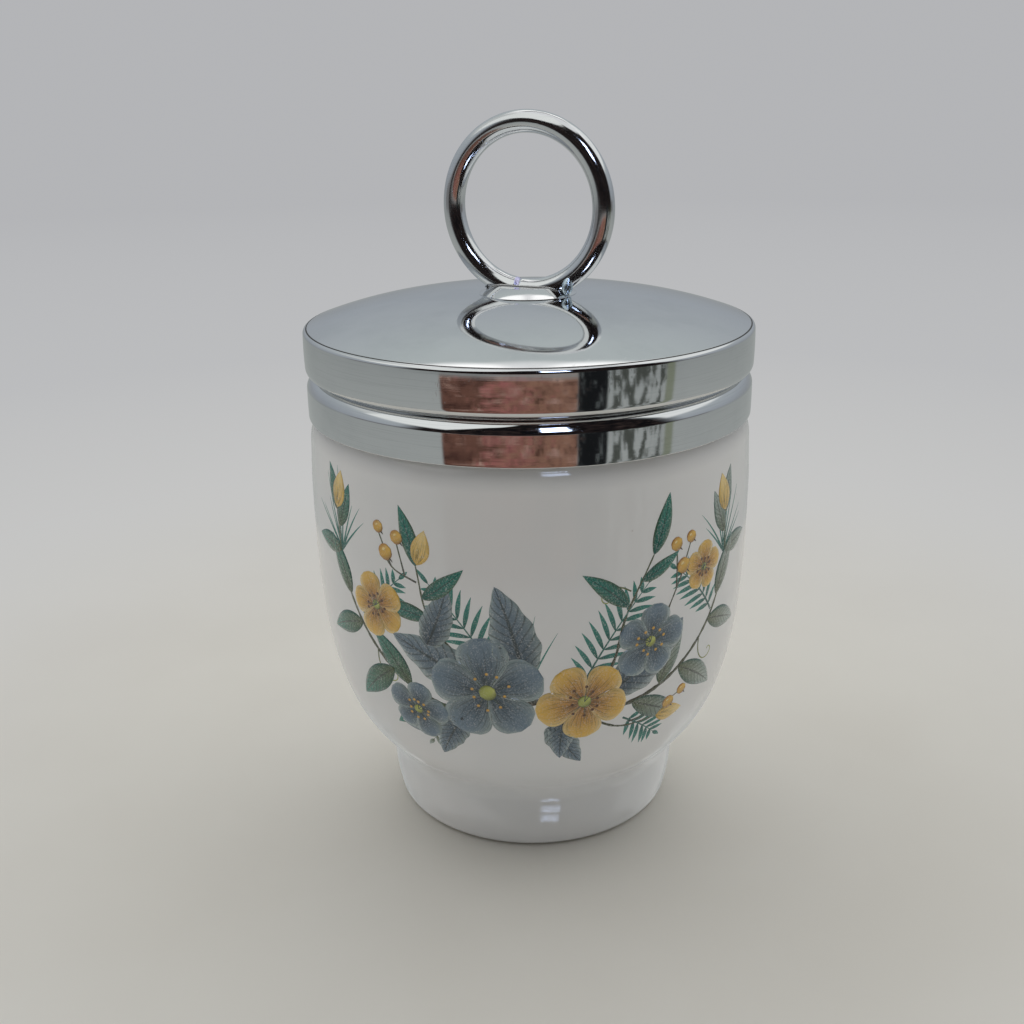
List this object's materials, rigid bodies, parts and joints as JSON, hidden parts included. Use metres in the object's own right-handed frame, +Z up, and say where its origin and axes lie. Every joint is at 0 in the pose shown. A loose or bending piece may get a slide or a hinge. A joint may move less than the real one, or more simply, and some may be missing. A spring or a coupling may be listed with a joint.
{
  "type": "egg coddler",
  "caption": "Lidded porcelain cup on a foot ring, with a cemented metal screw collar and a domed metal screw lid that carries a wire lifting ring.",
  "frame": {"origin": "centre of the foot ring's rest face, on the surface that the cup stands on", "axes": "+Z up along the cup's axis; the lifting ring stands in the XZ plane, so its eye looks along Y"},
  "size_m": [0.0582, 0.0582, 0.0931],
  "materials": {
    "porcelain": "glossy clear glaze on white porcelain",
    "cement": "matt",
    "collar_chrome": "polished chrome plate",
    "lid_chrome": "polished chrome plate",
    "boss_chrome": "polished chrome plate",
    "washer_brass": "turned brass",
    "ring_chrome": "polished chrome plate"
  },
  "bodies": {
    "cup": {"porcelain_cup": "porcelain", "collar_cement": "cement", "screw_collar": "collar_chrome"},
    "lift_washer": {"rivet_washer": "washer_brass"},
    "lid": {"lid_shell": "lid_chrome", "ring_boss": "boss_chrome", "lifting_ring": "ring_chrome"}
  },
  "joints": [
    {"name": "lid_lift", "type": "slide", "parent": "cup", "child": "lift_washer", "axis": [0, 0, 1], "range_m": [0, 0.0072]},
    {"name": "lid_turn", "type": "hinge", "parent": "lift_washer", "child": "lid", "pos_m": [0, 0, 0.0696], "axis": [0, 0, 1], "range_deg": [0, 1080]}
  ],
  "couplings": [
    {"joint": "lid_lift", "follows": "lid_turn", "m_per_rad": 0.00038197}
  ]
}
